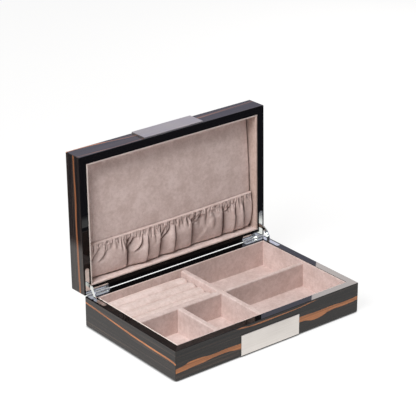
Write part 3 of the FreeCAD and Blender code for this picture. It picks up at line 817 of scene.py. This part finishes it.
def fold_relief(station, number, within):
    """Place across and height of the main folds: each climbs from its left valley by a smooth step and drops
    steeply into the next one by a high power. Its columns are moved by a sine, the valleys lean from mouth
    to bottom, and the folds swell half way."""
    mouth, bottom = np.array(valley_mouth_shares), np.array(valley_bottom_shares)
    valley = mouth + station[:, None] * (bottom - mouth)
    left, right = valley[:, number], valley[:, number + 1]
    moved = smooth(station * fold_crowding_rate)[:, None]
    crowded = within - fold_crowding_share * np.sin(2 * math.pi * within) * moved
    x = (left + (right - left) * crowded) * pocket_half_x
    lift = np.array(valley_lift_shares)
    level = lift[number] + (lift[number + 1] - lift[number]) * smooth(within)
    climb = smooth(within * fold_climb)
    ridge = np.array(fold_rise_shares)[number] * climb * (1 - within ** fold_drop_power)
    swell = np.interp(station, swell_station_shares, swell_shares)
    kernel = np.hanning(2 * swell_soft_rows + 1)
    swell = np.convolve(np.pad(swell, swell_soft_rows, mode="edge"), kernel / kernel.sum(), mode="valid")
    return x, swell[:, None] * (level + ridge) * fold_height


def crease_relief(x, y):
    """Creases that run into the valleys: each follows a polynomial of at most the third degree through its
    points. It has a ridge on its left, a steep left bank and a slow right one, and it fades out at both
    ends."""
    relief = np.zeros_like(x)
    rows = y[:, 0] - mouth_y
    for places, share, softness in creases:
        across, down = np.array(places).T
        line = np.polyfit(down, across, min(len(across) - 1, crease_degree))
        middle = np.polyval(line, np.clip(rows, down[0], down[-1]))
        reach = (down[-1] - down[0]) * crease_end_fade_share
        begun = smooth((rows - down[0]) / crease_start_fade + 0.5)
        shown = begun * (1 - smooth((rows - down[-1]) / reach + 0.5))
        aside = (x - middle[:, None]) / softness
        bank = np.where(aside < 0, np.exp(-(aside / crease_edge) ** 2),
                        np.exp(-np.abs(aside) / crease_slope))
        ridge = np.exp(-((aside + crease_ridge_width) / crease_ridge_width) ** 2)
        relief += share * shown[:, None] * (crease_ridge * ridge - crease_depth * bank)
    return relief


def gather_places(pitch):
    """Places across of the gathers under the lip, unevenly spaced."""
    places = np.arange(-pocket_half_x + pitch / 2, pocket_half_x, pitch)
    draw = np.random.default_rng(gather_seed)
    return places + draw.uniform(-gather_scatter_share, gather_scatter_share, len(places)) * pitch


def gather_relief(x, y, pitch, depth, width, lengths, seed):
    """Creases below the lip: each is a bell-shaped groove that leans a little, widens on its way down and
    fades out with its own length."""
    draw = np.random.default_rng(seed)
    relief = np.zeros_like(x)
    below = y - mouth_y - gather_start
    shortest, longest = lengths
    for place in gather_places(pitch):
        length = shortest + (longest - shortest) * draw.uniform(0, 1) ** gather_length_power
        lean = draw.uniform(-gather_lean_share, gather_lean_share) * length
        share = np.clip(below / length, 0, 1)
        middle = place + lean * share ** gather_bend_power
        groove = depth * draw.uniform(*gather_depth_shares) * (1 - share) * smooth(below / gather_fade)
        spread = width * (1 + gather_widen_share * share) * draw.uniform(*gather_width_shares)
        relief -= groove * np.exp(-((x - middle) / spread) ** 2)
    return relief


def row_mean(height, width):
    """Mean of the heights along each row over a width, smoothed twice."""
    reach = int(width / pocket_column / 2)
    for turn in range(2):
        total = np.cumsum(np.pad(height, ((0, 0), (reach + 1, reach)), mode="edge"), axis=1)
        height = (total[:, 2 * reach + 1:] - total[:, :-2 * reach - 1]) / (2 * reach + 1)
    return height


def row_crest(height, reach):
    """Highest point of each row within a reach to both sides."""
    columns = int(reach / pocket_column)
    wide = np.pad(height, ((0, 0), (columns, columns)), mode="edge")
    return np.lib.stride_tricks.sliding_window_view(wide, 2 * columns + 1, axis=1).max(axis=-1)


def crease_shade(x, y, height):
    """How much painted shade darkens the creases, from 0 to 1: by the depth below the crests nearby and
    below the row's mean, both taken at even steps across, and less so close to the lip."""
    even = np.arange(-pocket_half_x, pocket_half_x, pocket_column)
    level = np.stack([np.interp(even, across, row) for across, row in zip(x, height)])
    below_crest = smooth((row_mean(row_crest(level, crest_reach), crest_reach) - level) / crest_fall)
    below_mean = smooth((row_mean(level, mean_width) - level) / mean_fall)
    shade = np.clip(crest_share * below_crest + mean_share * below_mean, 0, 1)
    shade = np.stack([np.interp(across, even, row) for across, row in zip(x, shade)])
    below = smooth((y - mouth_y) / lip_shade_reach)
    return shade * (lip_shade_share + (1 - lip_shade_share) * below)


def rib_relief(x, y):
    """Fine ribs of the shirred hem: some cosine waves to a gather, which fade out below the seam and at the
    lip."""
    places = gather_places(short_gathers[0])
    wave = -np.cos(2 * math.pi * rib_waves * np.interp(x, places, np.arange(len(places))))
    fade = smooth((y - mouth_y) / hem_lip - rib_lip_share) * (1 - smooth((y - seam_y) / rib_length))
    return rib_depth * wave * fade


def outward_is_back(made):
    """Whether an open sheet's faces look back into the lid instead of out of it."""
    polygon = made.data.polygons[len(made.data.polygons) // 2]
    return polygon.normal.y > 0


def pocket_cloth():
    """Gathered pocket in one sheet: a rounded lip, the shirred hem over the elastic, then the creases and
    main folds down to the tucked bottom edge. Heights are measured off the pad's face: the hem's stand
    blends into the folds, the deeper of a crease and a short gather wins, the edges fall by quarter circles,
    and a soft maximum keeps the cloth off the pad and the elastic."""
    number, within = fold_columns()
    body_y = seam_y + (bottom_y - seam_y) * np.linspace(0, 1, cloth_rows) ** cloth_row_power
    hem_y = mouth_y + hem_height * np.linspace(0, 1, hem_rows)[:-1] ** hem_row_power
    y = np.concatenate([hem_y, body_y])
    station = np.clip((y - seam_y) / (bottom_y - seam_y), 0, 1)
    x, folds = fold_relief(station, number, within)
    y = np.broadcast_to(y[:, None], x.shape)
    in_hem = 1 - smooth((y - seam_y) / hem_blend)
    rise = hem_stand - cloth_stand + hem_swell * smooth((y - mouth_y) / hem_swell_reach)
    stand = cloth_stand + rise * in_hem
    branches = crease_relief(x, y)
    grooves = np.maximum(branches, 0) + np.minimum(branches, gather_relief(x, y, *short_gathers))
    grooves = grooves + gather_relief(x, y, *long_gathers)
    height = stand + folds * (1 - in_hem) + grooves * (1 - hem_hold_share * in_hem) + rib_relief(x, y)
    height = cloth_least + (height - cloth_least) * quarter((y - mouth_y) / hem_lip)
    height = cloth_least + (height - cloth_least) * quarter((bottom_y - y) / bottom_tuck)
    height = cloth_least + (height - cloth_least) * quarter((pocket_half_x - np.abs(x)) / side_tuck)
    over_tape = (1 - smooth((y - mouth_y - tape_end) / tape_fade)) * smooth((y - mouth_y) / hem_lip)
    least = cloth_least + (tape_cover - cloth_least) * over_tape
    height = least + np.logaddexp(0, (height - least) / cloth_rest_softness) * cloth_rest_softness
    tilt = np.where(x < 0, mouth_slopes[0], mouth_slopes[1]) * x * (1 - station[:, None])
    in_end = smooth((x - pocket_half_x + right_end_width) / right_end_width)
    drawn = np.interp(station, right_end_station_shares, right_end_shifts)[:, None] * in_end
    points = opened(x + drawn, y + tilt, pad_face(x, y) - height)
    made = make_piece("pocket_cloth", points, grid_faces(*x.shape).tolist(), crease_shaded_suede, "lid")
    # Painted shade darkens the suede in the pocket's creases and valleys
    store_painted_shade(made, crease_shade(x, y, height).ravel())
    thick = made.modifiers.new("thickness", "SOLIDIFY")
    thick.thickness = cloth_thickness
    thick.offset = 1.0 if outward_is_back(made) else -1.0
    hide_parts("lid_pocket", "pocket_casing")


# Ring rolls
def ring_roll(number):
    """Foam roll: straight flanks and a round top, carried along the width; towards its ends it narrows and
    sinks by a quarter circle, and its line wanders a little."""
    node = "ring_roll_" + str(number)
    low, high = (np.array(corner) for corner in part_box(node))
    middle, half = (low[Y] + high[Y]) / 2, (high[Y] - low[Y]) / 2 + roll_spread
    length = high[X] - low[X]
    share = 0.5 - 0.5 * np.cos(np.linspace(0, math.pi, roll_rows))
    x = low[X] + length * share
    ends = quarter(np.minimum(share, 1 - share) * length / roll_end_round)
    around = np.linspace(0, math.pi, roll_columns)
    narrow = 1 - roll_end_narrow_share * (1 - ends)
    crest = high[Z] - roll_end_sink * (1 - ends) - roll_sag * (2 * share - 1) ** 2
    wander = roll_wave * np.sin(share * roll_wave_rate + number * roll_wave_shift)
    side = -np.cos(around)
    top = np.sin(around) ** roll_top_power
    y_top = middle + wander[:, None] + (half * narrow)[:, None] * side
    z_top = crest[:, None] - roll_shoulder * (1 - top)
    foot = np.full((len(x), 1), low[Z])
    y = np.hstack([y_top[:, :1], y_top, y_top[:, -1:]])
    z = np.hstack([foot, z_top, foot])
    points = np.stack([np.broadcast_to(x[:, None], y.shape), y, z], axis=-1)
    rows, columns = y.shape
    index = np.arange(rows * columns).reshape(rows, columns)
    under = np.stack([index[:-1, 0], index[1:, 0], index[1:, -1], index[:-1, -1]], axis=-1)
    faces = grid_faces(rows, columns).tolist() + under.tolist() + [index[0].tolist(), index[-1].tolist()]
    made = make_piece(node + "_cushion", points, faces, painted_light_suede, "base")
    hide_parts(node)


lid_pad()
pocket_cloth()
for number in range(1, roll_count + 1):
    ring_roll(number)


# Stage
def floor():
    """Plain pale floor that the camera sees as white, with the box's shadow kept and a contact shadow
    painted into its glow by ambient occlusion near the box. Polished pieces see it white near the box and
    dark farther off, as on white paper in a dim studio."""
    sides = ((-1, -1), (1, -1), (1, 1), (-1, 1))
    corners = [(right * floor_half, back * floor_half, 0) for right, back in sides]
    mesh = bpy.data.meshes.new("floor")
    mesh.from_pydata(corners, [], [(0, 1, 2, 3)])
    made = bpy.data.objects.new("floor", mesh)
    bpy.context.collection.objects.link(made)
    finish = Finish("floor")
    tree = finish.tree
    tree.nodes.remove(finish.shader)
    path = tree.nodes.new("ShaderNodeLightPath")
    mirrored = finish.sums("MAXIMUM", path.outputs["Is Glossy Ray"], path.outputs["Is Transmission Ray"])
    seen = finish.sums("MAXIMUM", path.outputs["Is Camera Ray"], mirrored)
    across, deep = axis_parts(finish, finish.place)[:2]
    near = finish.sums("MULTIPLY", finish.ramp(across, paper_left - paper_fade, paper_left + paper_fade),
                       finish.ramp(across, paper_right - paper_fade, paper_right + paper_fade, 1.0, 0.0))
    behind_edge = finish.ramp(deep, paper_front - paper_fade, paper_front + paper_fade)
    near = finish.sums("MULTIPLY", near, behind_edge)
    dim = finish.sums("MULTIPLY", finish.sums("SUBTRACT", 1.0, near), mirrored)
    plain = finish.add("BsdfDiffuse", {"Color": floor_tone})
    shaded = finish.add("BsdfDiffuse", {"Color": finish.mix(dim, floor_shade, black)})
    # Painted contact shadow: ambient occlusion darkens the glow near the box
    contact = finish.add("AmbientOcclusion", {"Distance": contact_shadow_reach}, output="AO")
    clear = finish.sums("MAXIMUM", contact, mirrored)
    lit = finish.mix(finish.ramp(clear, contact_shadow_dark, contact_shadow_clear), black, floor_glow)
    glow = finish.add("Emission", {"Color": finish.mix(dim, lit, floor_far)})
    paper = finish.add("AddShader", {0: shaded, 1: glow})
    shown = finish.add("MixShader", {0: seen, 1: plain, 2: paper})
    finish.put(tree.nodes["Material Output"], "Surface", shown)
    mesh.materials.append(finish.material)


def sky():
    """Even studio light from all round, which the camera sees as white and polished pieces as bands of cool
    white and shade, as between the lamps and the walls of a studio."""
    world = bpy.data.worlds.new("studio")
    bpy.context.scene.world = world
    world.use_nodes = True
    tree = world.node_tree
    back = tree.nodes["Background"]
    path = tree.nodes.new("ShaderNodeLightPath")

    def chosen(ray, first, second):
        """Blend of two colours by a kind of ray."""
        mix = tree.nodes.new("ShaderNodeMixRGB")
        tree.links.new(ray, mix.inputs["Fac"])
        for key, value in (("Color1", first), ("Color2", second)):
            if isinstance(value, bpy.types.NodeSocket):
                tree.links.new(value, mix.inputs[key])
            else:
                mix.inputs[key].default_value = value
        return mix.outputs[0]

    up = tree.nodes.new("ShaderNodeSeparateXYZ")
    tree.links.new(tree.nodes.new("ShaderNodeTexCoord").outputs["Generated"], up.inputs[0])
    fall = tree.nodes.new("ShaderNodeValToRGB")
    tree.links.new(up.outputs[Z], fall.inputs["Fac"])
    stops = fall.color_ramp.elements
    for height, shade in sky_mirrored[1:-1]:
        stops.new(height).color = shade
    for stop, (height, shade) in ((stops[0], sky_mirrored[0]), (stops[len(stops) - 1], sky_mirrored[-1])):
        stop.position = height
        stop.color = shade
    tone = chosen(path.outputs["Is Glossy Ray"], sky_light, fall.outputs["Color"])
    tone = chosen(path.outputs["Is Transmission Ray"], tone, fall.outputs["Color"])
    tone = chosen(path.outputs["Is Camera Ray"], tone, white)
    tree.links.new(tone, back.inputs["Color"])


def softbox(name, place, target, size, power, tint):
    """Square area lamp that faces a point."""
    lamp = bpy.data.lights.new(name, "AREA")
    lamp.size = size
    lamp.energy = power
    lamp.color = tint
    made = bpy.data.objects.new(name, lamp)
    bpy.context.collection.objects.link(made)
    made.location = place
    aim = np.array(target) - np.array(place)
    level = math.hypot(aim[X], aim[Y])
    made.rotation_euler = (math.atan2(level, -aim[Z]), 0, math.atan2(-aim[X], aim[Y]))


def camera():
    """Camera at the photograph's place."""
    lens = bpy.data.cameras.new("camera")
    lens.lens = camera_lens
    lens.sensor_width = camera_sensor
    lens.clip_end = camera_reach
    made = bpy.data.objects.new("camera", lens)
    bpy.context.collection.objects.link(made)
    made.location = camera_place
    made.rotation_euler = (math.radians(90 - camera_elevation), 0, math.radians(camera_azimuth))
    bpy.context.scene.camera = made


floor()
sky()
softbox("key", *key_lamp)
softbox("rim", *rim_lamp)
camera()
bpy.context.scene.view_settings.view_transform = "Standard"
